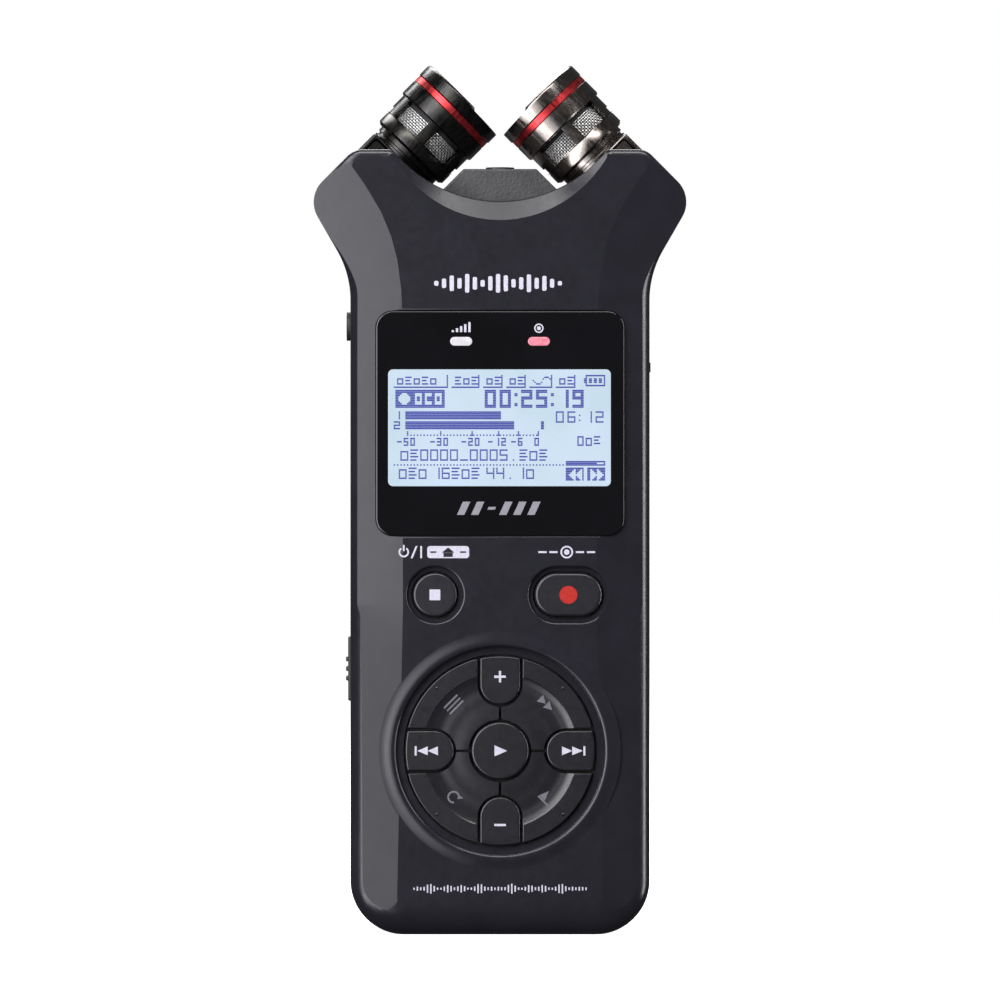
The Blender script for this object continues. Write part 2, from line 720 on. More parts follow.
def front_room():
    """The front shell's hollow, shallower near its rim."""
    return [plate(rounded_rect(width, height, radius, 0, 62.1), FRONT_Y + WALL + step, OVER)
            for width, height, radius, step in ((47.2, 116.4, 6.8, 0), (50.6, 119.8, 7.9, 1.7))]


def upper_bay(face):
    """Room for the bridge and for the swinging arms in one half."""
    low, high = sorted((face * 8.0, -face * OVER))
    cutters = [box((-12.6, low, 124), (12.6, high, 170))]
    slot, pocket_r, reach = ARM_HALF + 0.2, HUB_R + 0.45, 30
    low, high = sorted((face * slot, -face * OVER))
    for side in (-1, 1):
        sweep = arc(0, 0, pocket_r, 225, 315, 24)
        for corner, way in ((sweep[-1], 1), (sweep[0], -1)):
            sweep.append(tuple(Vector(corner) + Vector((way * reach, reach)) * math.sqrt(0.5)))
        cutters.append(plate([(side * PIVOT_X + x, PIVOT_Z + z) for x, z in sweep], low, high))
    return cutters


def face_openings():
    """Cutters for the window's seat, the display, the lamps, the wheel and the upper keys."""
    seat = rounded_rect(WINDOW_W + 0.2, WINDOW_H + 0.2, 3.2, 0, WINDOW_Z)
    cutters = [dented(seat, 0.3, 0.25, 1.0, 4),
               plate(rounded_rect(42.6, 24.4, 0.6, 0, LCD_Z), FRONT_Y - CLEAR, 0)]
    cutters += [plate(stadium(4.2, 1.76, lamp.x, lamp.z), FRONT_Y - CLEAR, WELL_Y) for lamp in LAMPS.values()]
    gutters = [(disc(WHEEL_R + 0.35, 0, WHEEL.z, 160), RIM_R - WHEEL_R - 0.45, 0.1),
               (disc(HOME_R + 0.3, HOME.x, HOME.z, 96), 0.75, 0.35),
               (stadium(RECORD_W + 0.6, RECORD_H + 0.6, RECORD_KEY.x, RECORD_KEY.z), 0.75, 0.35)]
    for outline, gap, lip in gutters:
        cutters += [plate(outline, FRONT_Y + 0.5, WELL_Y), dented(grown(outline, gap), lip, lip, 1.1)]
    return cutters


def side_openings():
    """Cutters for the headphone socket, the slider's track, the card door's seat and the data socket."""
    jack, slider, door, data = (middle(n) for n in ("phones_jack", "hold_slider", "card_door", "usb_socket"))
    slider_size, door_size = size("hold_slider"), size("card_door")
    outside, floor_x = HALF_W + CLEAR, 24.3
    track = rounded_rect(slider_size.y + 0.3, slider_size.z + 2.3, 0.5, slider.y, slider.z - 1)
    return [along_x(plate(disc(2.75, jack_y(), jack.z, 48), -outside, -23)),
            along_x(plate(track, -outside, -26.5)),
            box((-28.2, -5.7, 44), (-24, -4.1, 50.5)),
            along_x(plate(rounded_rect(5.7, door_size.z + 0.3, 0.35, SIDE_Y, door.z), floor_x, outside)),
            along_x(plate(stadium(3.2, 8.2, SIDE_Y, data.z), floor_x, outside))]


def front_shell():
    shell = as_object("front_shell_body", case_half(-1))
    carve(shell, *front_room(), *upper_bay(-1), facet(-1), facet(1), *face_openings(), *side_openings())
    soften(shell, 0.09)
    finish_piece(shell, CASE, "front_shell", sharp=34)
    mark_crease(shell.data)
    weigh_normals(shell)
    wheel_rim()


def weigh_normals(obj):
    """Lets large flat faces keep their own shading beside small curved ones."""
    modifier = obj.modifiers.new("normals", "WEIGHTED_NORMAL")
    modifier.keep_sharp = True
    modifier.weight = 90
    baked(obj)


def mark_crease(mesh):
    """Keeps both edges of the side facets crisp."""
    touching = {}
    for polygon in mesh.polygons:
        for key in polygon.edge_keys:
            touching.setdefault(key, []).append(polygon.normal.y)
    for edge in mesh.edges:
        slopes = sorted(touching.get(edge.key, []))
        if len(slopes) < 2:
            continue
        inner = slopes[0] < -0.9999 and slopes[1] > -0.997
        outer = slopes[0] < -0.975 and slopes[1] - slopes[0] > 0.05
        if inner or outer:
            edge.use_edge_sharp = True


def wheel_rim():
    """Low swell in the face round the wheel's recess."""
    swell = [(0, -0.5), (0, 0.08), (0.12, 0.22), (0.4, 0.31), (0.8, 0.31), (1.3, 0.23), (1.9, 0.10),
             (2.5, 0.01), (2.9, -0.02), (2.9, -0.5)]
    rim = moved(lathe([(RIM_R + r, z) for r, z in swell], 160), facing_out(0, FRONT_Y, WHEEL.z))
    piece("wheel_rim", rim, CASE, body=MAIN, sharp=40)


def facing_out(x, y, z):
    """Turns a solid's axis from Z to the front and moves it to a place."""
    return Matrix.Translation((x, y, z)) @ Matrix.Rotation(math.pi / 2, 4, "X")


def jack_y():
    """Depth of the headphone socket's axis, from the record's mount."""
    mount = next(m for m in RECORD["mounts"] if m["name"] == "phones_socket")
    return mount["pos_m"][1] / MM


def rear_shell():
    shell = as_object("rear_shell_body", case_half(1))
    outside = REAR_Y + CLEAR
    door_low, door_high = span("battery_door")
    # rooms over the battery bay and on both sides of it: x from and to, back, z from and to
    rooms = [(-25.3, 25.3, REAR_Y - WALL - 1.7, 68.5, 122), (-25.3, -17, 9.5, 6, 68.4),
             (17, 25.3, 9.5, 6, 68.4)]
    cutters = upper_bay(1) + [box((x0, -OVER, z0), (x1, back, z1)) for x0, x1, back, z0, z1 in rooms]
    # battery bay, open in front as well, and the door's seat with its finger notch
    cutters.append(plate(rounded_rect(30.4, 55, 0.8, 0, 37.7), -OVER, outside))
    seat = rounded_rect(door_high.x - door_low.x - 1.7, door_high.z - door_low.z + 0.5, 0.8,
                        0, middle("battery_door").z)
    cutters.append(plate(seat, REAR_Y - 1.55, outside))
    notch = ((2, REAR_Y - 1.2), (5.5, REAR_Y), (8.4, outside))
    cutters.append(loft([at_depth(disc(r, 0, door_low.z - 1.2, 48), y) for r, y in notch]))
    cutters += [plate(disc(2.1, x, z, 40), 10.4, outside) for x, z in SCREWS]
    cutters.append(plate(disc(5.0, 0, middle("tripod_insert").z, 80), 6, outside))
    for i in range(-3, 4):
        slot = stadium(1.0, 10 - abs(i) * 1.4, i * 2, middle("speaker").z)
        cutters.append(plate(slot, 9, outside))
    carve(shell, *cutters)
    soften(shell, 0.09)
    weigh_normals(finish_piece(shell, REAR, "rear_shell", sharp=34))


def jack_bridge():
    low, high = span("jack_bridge")
    flat = 6.65
    slope = high.z - (high.x - flat)
    outline = [(-high.x, low.z), (high.x, low.z), (high.x, slope), (flat, high.z), (-flat, high.z),
               (-high.x, slope)]
    bridge = as_object("bridge_body", plate(rounded(outline, 0.5), low.y, high.y, 0.35, 0.35))
    hole = [(0, high.z - 2), (2.7, high.z - 2), (2.7, high.z + 1), (0, high.z + 1)]
    carve(bridge, lathe(hole, 64, closed=False), box((-3.3, -3.3, low.z - 1), (3.3, 3.3, high.z - 1.2)))
    finish_piece(bridge, BRIDGE, "jack_bridge")


# ---- display ----


def display():
    behind = FRONT_Y + 2
    outline = rounded_rect(WINDOW_W, WINDOW_H, 3.1, 0, WINDOW_Z)
    window = as_object("window_plate", plate(outline, WINDOW_LOW.y, WINDOW_HIGH.y, 0.28, steps=5))
    holes = [rounded_rect(VIEW_W, VIEW_H, 0.9, VIEW_X, VIEW_Z)]
    holes += [stadium(4.05, 1.62, lamp.x, lamp.z) for lamp in LAMPS.values()]
    carve(window, *[plate(hole, FRONT_Y - CLEAR, behind) for hole in holes])
    finish_piece(window, WINDOW, "display_window")
    glass = rounded_rect(VIEW_W - 0.02, VIEW_H - 0.02, 0.9, VIEW_X, VIEW_Z)
    piece("lcd_glass", plate(glass, GLASS_Y, LCD_BACK, 0.05, steps=2), LCD, "lcd_panel")
    for (node, lamp), material in zip(LAMPS.items(), (LAMP_WHITE, LAMP_RED)):
        lens = plate(stadium(3.98, 1.55, lamp.x, lamp.z), FRONT_Y + 0.02, span(node)[1].y, 0.2)
        piece(f"{node}_lens", lens, material, node)


class Bitmap:
    """The display's dots, switched on in rows and columns."""

    COLS, ROWS, PITCH = 128, 64, 0.3
    SEGMENTS = {"0": "abcdef", "1": "bc", "2": "abged", "3": "abgcd", "4": "fgbc", "5": "afgcd",
                "6": "afgedc", "7": "abc", "8": "abcdefg", "9": "abcdfg", "-": "g"}

    def __init__(self):
        self.dots = set()

    def fill(self, col, row, width, height, on=True):
        cells = {(c, r) for c in range(col, col + width) for r in range(row, row + height)}
        self.dots = self.dots | cells if on else self.dots - cells

    def frame(self, col, row, width, height):
        self.fill(col, row, width, height)
        self.fill(col + 1, row + 1, width - 2, height - 2, False)

    def digit(self, char, col, row, width, height, stroke=1):
        half, right, foot = (height - stroke) // 2, width - stroke, height - stroke
        bars = {"a": (0, 0, width, stroke), "g": (0, half, width, stroke), "d": (0, foot, width, stroke),
                "f": (0, 0, stroke, half + stroke), "b": (right, 0, stroke, half + stroke),
                "e": (0, half, stroke, height - half), "c": (right, half, stroke, height - half)}
        for name in self.SEGMENTS.get(char, ""):
            dx, dy, w, h = bars[name]
            self.fill(col + dx, row + dy, w, h)

    def write(self, text, col, row, width, height, stroke=1, gap=1):
        """Digits, with '#' and '=' for generic blocks, '.' and ':' for dots, and '_' for a low bar."""
        for char in text:
            if char == "#":
                self.frame(col, row + height // 4, width, height - height // 4)
            elif char == "=":
                for k in range(0, height, 2):
                    self.fill(col, row + k, width - (k // 2) % 2, 1)
            elif char == "_":
                self.fill(col, row + height - 1, width, 1)
            elif char == ".":
                self.fill(col + width // 2, row + height - stroke, stroke, stroke)
            elif char == ":":
                self.fill(col, row + height // 3 - stroke // 2, stroke, stroke)
                self.fill(col, row + height - height // 3, stroke, stroke)
                col -= width - stroke
            else:
                self.digit(char, col, row, width, height, stroke)
            col += width + gap

    def solid(self, y):
        """Each run of dots in a row as one thin raised bar."""
        left = VIEW_X - self.COLS * self.PITCH / 2
        top = VIEW_Z + self.ROWS * self.PITCH / 2
        gap, thick = 0.02, 0.012
        parts = []
        for row in range(self.ROWS):
            col = 0
            while col < self.COLS:
                end = col
                while (end, row) in self.dots and end < self.COLS:
                    end += 1
                if end > col:
                    x0, x1 = left + col * self.PITCH + gap, left + end * self.PITCH - gap
                    z0, z1 = top - (row + 1) * self.PITCH + gap, top - row * self.PITCH - gap
                    parts.append(box((x0, y - thick, z0), (x1, y, z1)))
                col = max(end, col + 1)
        return joined(*parts)


def screen_tabs(screen):
    """The top row: tabs with blocks in them, a wave and the battery sign."""
    for col, width, blocks in ((0, 34, 5), (35, 18, 3), (54, 13, 2), (68, 13, 2), (82, 15, 0), (98, 13, 2)):
        screen.fill(col, 7, width - 1, 1)
        screen.fill(col + width - 2, 0, 1, 7)
        for k in range(blocks):
            screen.write("#="[(col + k) % 2], col + 2 + k * 5, 1, 4, 5)
    for k in range(11):
        screen.fill(84 + k, 3 + round(2 * math.sin(k * math.tau / 11)), 1, 1)
    screen.frame(116, 0, 12, 7)
    screen.fill(115, 2, 1, 3)
    for k in range(3):
        screen.fill(118 + k * 3, 2, 2, 3)


def screen_badge(screen):
    """The recording badge: a disc and three blocks left out of a dark field."""
    screen.fill(1, 9, 30, 11)
    for c in range(3, 10):
        for r in range(11, 18):
            if (c - 6) ** 2 + (r - 14) ** 2 < 12:
                screen.fill(c, r, 1, 1, False)
    for k in range(3):
        screen.fill(13 + k * 6, 11, 4, 7, False)
        screen.fill(14 + k * 6, 13, 2 + k % 2, 3)


def screen_meter(screen):
    """Two level bars, a peak mark on the second, and the scale below them."""
    for channel, (row, length) in enumerate(((22, 58), (28, 66))):
        screen.write(str(channel + 1), 0, row, 4, 5)
        screen.fill(7, row, length, 5)
    screen.fill(89, 28, 2, 5)
    for col in range(8, 88, 2):
        screen.fill(col, 36, 1, 1)
    for col, label in ((8, "-50"), (28, "-30"), (47, "-20"), (63, "-12"), (75, "-6"), (87, "0")):
        screen.fill(col, 34, 1, 3)
        screen.write(label, col - (len(label) * 4) // 2, 38, 3, 5)


def screen_foot(screen):
    """A dotted line with the progress bar, and the two skip signs."""
    for col in range(0, 104, 2):
        screen.fill(col, 54, 1, 1)
    screen.frame(104, 52, 24, 3)
    screen.fill(104, 52, 19, 3)
    for col, ahead in ((104, False), (117, True)):
        screen.fill(col, 56, 11, 8)
        for k in range(2):
            for d in range(4):
                place = col + 2 + k * 4 + (d if ahead else 3 - d)
                screen.fill(place, 60 - (3 - d), 1, 2 * (3 - d) + 1, False)


def screen_dots():
    """A recording screen with numbers and generic blocks only."""
    screen = Bitmap()
    screen_tabs(screen)
    screen_badge(screen)
    screen.write("00:25:19", 55, 9, 7, 11, 2, 2)
    screen.write("06:12", 98, 22, 5, 7, 1, 2)
    screen_meter(screen)
    screen.write("0#=", 111, 37, 4, 6)
    screen_foot(screen)
    for words, col, row in (("#=0000_0005.=#=", 4, 45), ("#=#", 3, 56), ("16=#=", 23, 56), ("44.1#", 56, 56)):
        screen.write(words, col, row, 5, 7)
    piece("lcd_dots", screen.solid(GLASS_Y), LCD_INK, body=MAIN)


# ---- keys and printed marks ----


def wheel_point(radius, degrees):
    a = math.radians(degrees)
    return radius * math.cos(a), radius * math.sin(a)


def axis_key_outline():
    """The key at the top of the wheel: a round inner end and a curved outer end."""
    r = AXIS_KEY_W / 2
    start = AXIS_KEY_START + r
    half = math.degrees(math.asin(r / WHEEL_R))
    points = arc(0, start, r, 180, 360, 28) + arc(0, 0, WHEEL_R, 90 - half, 90 + half, 10)
    return rounded(points, 0.35, 4)


def corner_key_outline():
    """The key in the wheel's upper right quarter, between its neighbours and the play key."""
    r = AXIS_KEY_W / 2 + KEY_GAP
    centre = AXIS_KEY_START + AXIS_KEY_W / 2
    side = KEY_GAP / 2
    inner = PLAY_R + KEY_GAP
    tilt = math.degrees(math.asin(side / inner))
    cut = math.degrees(math.acos(side / r))
    rim = math.degrees(math.asin(r / WHEEL_R))
    points = arc(0, 0, inner, 90 - tilt, tilt, 12)
    points += arc(centre, 0, r, 180 - (90 - cut), 90, 16)
    points += arc(0, 0, WHEEL_R, rim, 90 - rim, 28)
    points += arc(0, centre, r, 0, -cut, 16)
    return rounded(points, 0.4, 4)


def dish_depth(x, z):
    """Depth of the shallow ring-shaped dish in the wheel's corner keys."""
    r = math.hypot(x, z - WHEEL.z)
    if r > DISH_R:
        return 0.0
    curve = [(0, 0.1), (6.0, 0.16), (9.5, 0.34), (11.6, 0.46), (12.9, 0.36), (13.7, 0.14), (DISH_R, 0.0)]
    for (r0, d0), (r1, d1) in zip(curve, curve[1:]):
        if r <= r1:
            t = (r - r0) / (r1 - r0)
            t = t * t * (3 - 2 * t)
            return d0 * (1 - t) + d1 * t
    return 0.0


def dish_cutter():
    """Turned solid whose lower side is the dish."""
    steps, clear, outer = 24, 2, DISH_R + 0.02
    radii = [DISH_START + (DISH_R - DISH_START) * i / steps for i in range(steps + 1)]
    profile = [(r, max(0.002, dish_depth(r, WHEEL.z))) for r in radii]
    profile += [(outer, -0.02), (outer, -clear), (DISH_START, -clear)]
    return loft([at_depth(disc(r, 0, WHEEL.z, 144), WHEEL_TOP_Y + y) for r, y in profile], closed=True)


def key_cap(outline, top_y, edge, steps):
    return plate(outline, top_y, KEY_BACK_Y, edge, steps=steps)


def keys():
    home = disc(HOME_R, HOME.x, HOME.z, 72)
    record = stadium(RECORD_W, RECORD_H, RECORD_KEY.x, RECORD_KEY.z)
    play = disc(PLAY_R, 0, WHEEL.z)
    piece("home_key_cap", key_cap(home, UPPER_TOP_Y, 0.5, 6), KEY, "home_key")
    piece("record_key_cap", key_cap(record, UPPER_TOP_Y, 0.6, 6), KEY, "record_key")
    piece("play_key_cap", key_cap(play, WHEEL_TOP_Y, 0.45, 6), WHEEL_KEY, "play_key")
    for i, node in enumerate(("plus_key", "next_key", "minus_key", "previous_key")):
        outline = turned(axis_key_outline(), i * 90, 0, WHEEL.z)
        piece(f"{node}_cap", key_cap(outline, WHEEL_TOP_Y, 0.3, 5), WHEEL_KEY, node)
    dome = [(0.0, 0.3), (0.14, 0.27), (0.26, 0.18), (0.34, 0.0), (0.34, -0.2), (0.0, -0.2)]
    for i, node in enumerate(("quick_key", "mark_key", "playback_key", "menu_key")):
        outline = turned(corner_key_outline(), i * 90, 0, WHEEL.z)
        key = as_object(f"{node}_cap", key_cap(outline, WHEEL_TOP_Y, 0.16, 3))
        carve(key, dish_cutter(), tolerant=True)
        finish_piece(key, WHEEL_KEY, node, sharp=40)
        x, z = wheel_point(16.2, 45 - i * 90)
        nub = moved(lathe(dome, 24, closed=False), facing_out(x, WHEEL_TOP_Y, WHEEL.z + z))
        piece(f"{node}_nub", nub, WHEEL_KEY, body=node)


def printed(name, outlines, y, body, material=PRINT_PALE, thick=0.02, height=None):
    """Thin ink shapes on a surface that faces the viewer; height gives its depth at x and z."""
    parts = []
    for points in outlines:
        rings = [[(x, (y + height(x, z) if height else y) - lift, z) for x, z in points]
                 for lift in (thick, -0.03)]
        parts.append(loft(rings))
    piece(name, joined(*parts), material, body=body)


def bar(cx, cz, width, height):
    x, z = width / 2, height / 2
    return [(cx - x, cz - z), (cx + x, cz - z), (cx + x, cz + z), (cx - x, cz + z)]


def band(radius, width, cx, cz, start=0, end=360, steps=32):
    outer = arc(cx, cz, radius, start, end, steps)
    inner = arc(cx, cz, radius - width, start, end, steps)
    return [[outer[i], outer[i + 1], inner[i + 1], inner[i]] for i in range(steps)]


def triangle(cx, cz, width, height, turn=0):
    points = [(-width / 2, -height / 2), (width / 2, 0), (-width / 2, height / 2)]
    return turned(points, turn, cx, cz)


def key_marks():
    """Signs on the keys: raised ink on the main ones, grey and dished on the corner keys."""
    skip = [triangle(-1.25, 0, 1.9, 1.6), triangle(0.6, 0, 1.9, 1.6), bar(1.85, 0, 0.36, 1.7)]
    next_x, previous_x = middle("next_key").x + 0.1, middle("previous_key").x - 0.1
    plus_z, minus_z = middle("plus_key").z + 0.1, middle("minus_key").z - 0.1
    stroke, length, arm = 0.42, 2.1, 0.63
    plus = [bar(0, plus_z, length, stroke)] + [bar(0, plus_z + s * arm, stroke, 2 * stroke) for s in (1, -1)]
    signs = {
        "plus": plus,
        "minus": [bar(0, minus_z, length, stroke)],
        "play": [triangle(0.15, WHEEL.z, 2.3, 2.0)],
        "next": [[(next_x + x, z + WHEEL.z) for x, z in p] for p in skip],
        "previous": [[(previous_x - x, z + WHEEL.z) for x, z in reversed(p)] for p in skip],
    }
    for key, outlines in signs.items():
        printed(f"mark_{key}", outlines, WHEEL_TOP_Y, f"{key}_key")
    printed("mark_home", [rounded(bar(HOME.x, HOME.z, 1.95, 1.95), 0.1)], UPPER_TOP_Y, "home_key")
    record = disc(1.62, RECORD_KEY.x, RECORD_KEY.z, 40)
    printed("mark_record", [record], UPPER_TOP_Y, "record_key", PRINT_RED)
    icons = {
        "menu_key": (135, [bar(0, z, 3.4, 0.32) for z in (0.75, 0, -0.75)]),
        "quick_key": (45, [triangle(-0.9, 0, 1.5, 1.7), triangle(0.7, 0, 1.5, 1.7)]),
        "mark_key": (-45, [bar(-0.9, 0, 0.3, 2.4), triangle(0.2, 0.45, 1.8, 1.4)]),
        "playback_key": (225, [*band(1.15, 0.32, 0, 0, 40, 320, 24), triangle(0.95, 0.85, 1.0, 0.9, -30)]),
    }
    for key, (angle, shapes) in icons.items():
        x, z = wheel_point(11.9, angle)
        tilt = angle - 90 if angle in (45, 135) else angle + 90
        outlines = [turned(p, -tilt, x, WHEEL.z + z) for p in shapes]
        printed(f"mark_{key}", outlines, WHEEL_TOP_Y, key, PRINT_GREY, 0.03, dish_depth)


def on_case(name, outlines, material=PRINT_PALE, thick=0.02):
    printed(name, outlines, FRONT_Y, MAIN, material, thick)


def upper_wave():
    """Sound-level bars above the window."""
    heights = [0.9, 1.7, 2.8, 1.9, 3.4, 2.3, 1.2, 2.6, 3.4, 2.9, 1.5, 2.2, 3.2, 2.0, 2.7, 1.6, 0.8]
    start, step = -0.35 - 11.2, 22.4 / (len(heights) - 1)
    wave = [rounded(bar(start + i * step, 118.3, 0.78, h), 0.3) for i, h in enumerate(heights)]
    on_case("print_wave", wave)


def key_labels():
    """A power sign and a house over the home key, and a ring between dashes over the record key."""
    line = HOME.z + 7.75
    power_x, home_x, record_x = -17.45, -9.4, RECORD_KEY.x - 0.3
    power = band(0.95, 0.3, power_x, line, 125, 415, 28) + [bar(power_x, line + 0.75, 0.3, 1.1)]
    power += [[(-16.2, line - 1.1), (-15.85, line - 1.1), (-14.95, line + 1.1), (-15.3, line + 1.1)],
              bar(-14.3, line, 0.32, 2.2)]
    on_case("print_power", power)
    on_case("print_home_field", [rounded_rect(7.6, 2.2, 0.55, home_x, line)])
    roof = [(-8.25, line - 0.1), (home_x, line + 0.85), (-10.55, line - 0.1)]
    house = [roof, bar(home_x, line - 0.5, 1.7, 0.75), bar(-12.1, line, 1.1, 0.3), bar(-6.7, line, 1.1, 0.3)]
    on_case("print_home_sign", house, KEY, 0.03)
    record = band(1.15, 0.3, record_x, line) + [disc(0.5, record_x, line, 20)]
    record += [bar(record_x + s * d, line, 1.5, 0.34) for s in (-1, 1) for d in (2.4, 4.4)]
    on_case("print_record", record)


def lower_wave():
    """A finer row of bars at the foot."""
    count, reach = 52, 15.6
    wave = []
    for i in range(count):
        height = 0.35 + 1.5 * abs(math.sin(i * 0.39)) * (0.55 + 0.45 * math.cos(i * 1.3))
        wave.append(bar(-reach + 2 * reach * i / (count - 1), 8.5, 0.26, height))
    on_case("print_low_wave", wave)


def lamp_marks():
    """Rising bars over the peak lamp and a ring over the record lamp."""
    peak, record = LAMPS["peak_lamp"].x, LAMPS["record_lamp"].x
    line, rise = LAMPS["peak_lamp"].z + 2.35, 0.18
    rising = [bar(peak - 2.25 + 0.75 * i, line - 0.7 + rise * i, 0.42, 2 * rise * i) for i in range(1, 6)]
    on_case("print_peak", rising)
    on_case("print_recording", band(0.85, 0.24, record, line) + [disc(0.36, record, line, 16)])


def badge():
    """Slanted strokes under the display; the third is a short dash."""
    half_w, slant = 1.35 / 2, 0.55 / 1.2
    strokes = []
    for i, height in enumerate((2.4, 2.4, 0.5, 2.4, 2.4, 2.4)):
        x, z, half = -6.6 + 2.55 * i, 77.5, height / 2
        lean = slant * half
        strokes.append([(x - half_w - lean, z - half), (x + half_w - lean, z - half),
                        (x + half_w + lean, z + half), (x - half_w + lean, z + half)])
    on_case("print_badge", strokes, PRINT_BADGE)


# ---- microphones ----


def mic_matrix(side):
    place = Matrix.Translation(Vector((side * PIVOT_X, 0, PIVOT_Z)) * MM)
    return place @ Matrix.Rotation(math.radians(-side * MIC_LEAN), 4, "Y")


def mic_arm(name, side, material):
    outline = rounded(arc(0, 0, HUB_R, 180, 360, 40) + [(HUB_R, NECK_Z), (-HUB_R, NECK_Z)], 0.6)
    arm = as_object(f"{name}_arm_body", plate(outline, -ARM_HALF, ARM_HALF, 0.45, 0.45), mic_matrix(side))
    well_x, well_top = HUB_R - 1.1, NECK_Z - 0.8
    well = rounded([(-well_x, 1.0), (well_x, 1.0), (well_x, well_top), (-well_x, well_top)], 0.5)
    wells = []
    for face in (-1, 1):
        wells.append(loft([at_depth(grown(well, 0.55), face * (ARM_HALF + 0.5)),
                           at_depth(grown(well, 0.35), face * ARM_HALF),
                           at_depth(well, face * (ARM_HALF - 0.55))]))
    carve(arm, *wells, plate(disc(PIN_R + 0.05, 0, 0, 48), -8, 8), tolerant=True)
    finish_piece(arm, material, f"{name}_arm")
    neck = [(0, NECK_Z - 0.4), (6.95, NECK_Z - 0.4), (6.95, NECK_Z + 0.35), (6.6, NECK_Z + 0.5),
            (6.6, NECK_Z + 0.9), (7.0, NECK_Z + 1.05), (7.0, CAGE_Z), (0, CAGE_Z)]
    piece(f"{name}_neck", lathe(neck, closed=False), material, body=f"{name}_mic", matrix=mic_matrix(side))


def mic_cage(name, side, material):
    """Turned cage with four tall windows and a low slot on each side."""
    profile = [(7.55, CAGE_Z), (8.1, CAGE_Z + 0.45), (8.1, GATE_LOW - 0.35), (8.0, GATE_LOW - 0.2),
               (8.0, GATE_LOW - 0.05), (8.25, GATE_LOW), (8.25, GATE_HIGH), (8.5, GATE_HIGH + 0.02),
               (8.75, GATE_HIGH + 0.3), (8.75, COLLAR_TOP - 0.12), (8.62, COLLAR_TOP), (BORE_R, COLLAR_TOP),
               (BORE_R, CAGE_Z + 1.2), (0.5, CAGE_Z + 1.2), (0.5, CAGE_Z)]
    cage = as_object(f"{name}_cage_body", lathe(profile, 144), mic_matrix(side))
    foot = GATE_LOW + 0.02
    gates = [(angle, 3.2, GATE_HIGH - 0.02) for angle in (-60, 60, 120, 240)]
    gates += [(angle, 2.6, GATE_LOW + 1.3) for angle in (0, 180)]
    cutters = [moved(box((5, -half, foot), (10, half, top)), Matrix.Rotation(math.radians(angle), 4, "Z"))
               for angle, half, top in gates]
    carve(cage, *cutters, tolerant=True)
    finish_piece(cage, material, f"{name}_cage", sharp=34)


def mic_wires(name, side):
    """Woven wire in the windows: upright wires and hoops that pass over and under each other."""
    radius, swing, wire = 6.84, 0.07, 0.075
    low, high = GATE_LOW - 0.4, GATE_HIGH + 0.25
    uprights, hoops = 90, 11
    parts = []
    for k in range(uprights):
        a = math.tau * k / uprights
        path = []
        for i in range(hoops * 2 + 1):
            r = radius + swing * math.cos(math.pi * (i + k * 2) / 2)
            path.append((r * math.cos(a), r * math.sin(a), low + (high - low) * i / (hoops * 2)))
        parts.append(tube(path, wire))
    for h in range(hoops):
        path = []
        for k in range(uprights * 2):
            a = math.tau * k / (uprights * 2)
            r = radius - swing * math.cos(math.pi * (k + h * 2) / 2)
            path.append((r * math.cos(a), r * math.sin(a), low + (high - low) * (h + 0.5) / hoops))
        parts.append(tube(path, wire, closed=True))
    piece(f"{name}_woven_wire", joined(*parts), WIRE, f"{name}_mesh", matrix=mic_matrix(side), sharp=60)
    liner = lathe([(6.62, low), (6.62, high), (6.4, high), (6.4, low)], 96)
    piece(f"{name}_liner", liner, CLOTH, body=f"{name}_mic", matrix=mic_matrix(side))


def mic_grille(name, side):
    """Woven wire disc across the microphone's front, over dark cloth."""
    radius, pitch, wire, swing = 7.2, 0.42, 0.09, 0.08
    z0 = MIC_LEN - 1.3
    count = int(radius / pitch)
    parts = []
    for k in range(-count, count + 1):
        u = k * pitch
        steps = max(2, int(math.sqrt(radius**2 - u**2) / (pitch / 2)))
        for across in (0, 1):
            path = []
            for i in range(-steps, steps + 1):
                v = i * pitch / 2
                crown = 0.25 * (1 - (u * u + v * v) / radius**2)
                lift = swing * math.cos(math.pi * (i / 2 + k)) * (1 if across else -1)
                path.append((*((u, v) if across else (v, u)), z0 + crown + lift))
            parts.append(tube(path, wire))
    piece(f"{name}_grille_wire", joined(*parts), WIRE, f"{name}_grille", matrix=mic_matrix(side), sharp=60)
    pad = [(0, z0 - 0.5), (7.15, z0 - 0.5), (7.15, z0 - 0.2), (3.5, z0 - 0.02), (0, z0)]
    piece(f"{name}_grille_pad", lathe(pad, 64, closed=False), CLOTH, body=f"{name}_mic", matrix=mic_matrix(side))


def mic_rings(name, side, material):
    """The red ring, and the front ring with its rim cut down over the inner third."""
    place = mic_matrix(side)
    red = [(7.3, COLLAR_TOP + 0.02), (8.6, COLLAR_TOP + 0.02), (8.72, COLLAR_TOP + 0.12),
           (8.72, RED_TOP - 0.12), (8.6, RED_TOP - 0.02), (7.3, RED_TOP - 0.02)]
    piece(f"{name}_red_band", lathe(red, 144), RED_RING, f"{name}_red_ring", matrix=place)
    front = [(7.3, RED_TOP), (8.74, RED_TOP), (RING_R, RED_TOP + 0.14), (RING_R, MIC_LEN - 0.6)]
    front += [(8.38 + 0.5 * x, MIC_LEN - 0.6 + 0.6 * z) for x, z in arc(0, 0, 1, 15, 90, 5)]
    front += [(7.75, MIC_LEN), (7.45, MIC_LEN - 0.25), (7.3, MIC_LEN - 0.7)]
    verts, faces = lathe(front, 144)
    verts = [(x, y, min(z, MIC_LEN - RIM_STEP) if -side * x > RING_R / 3 else z) for x, y, z in verts]
    piece(f"{name}_front_ring_body", (verts, faces), material, f"{name}_front_ring", matrix=place, sharp=34)


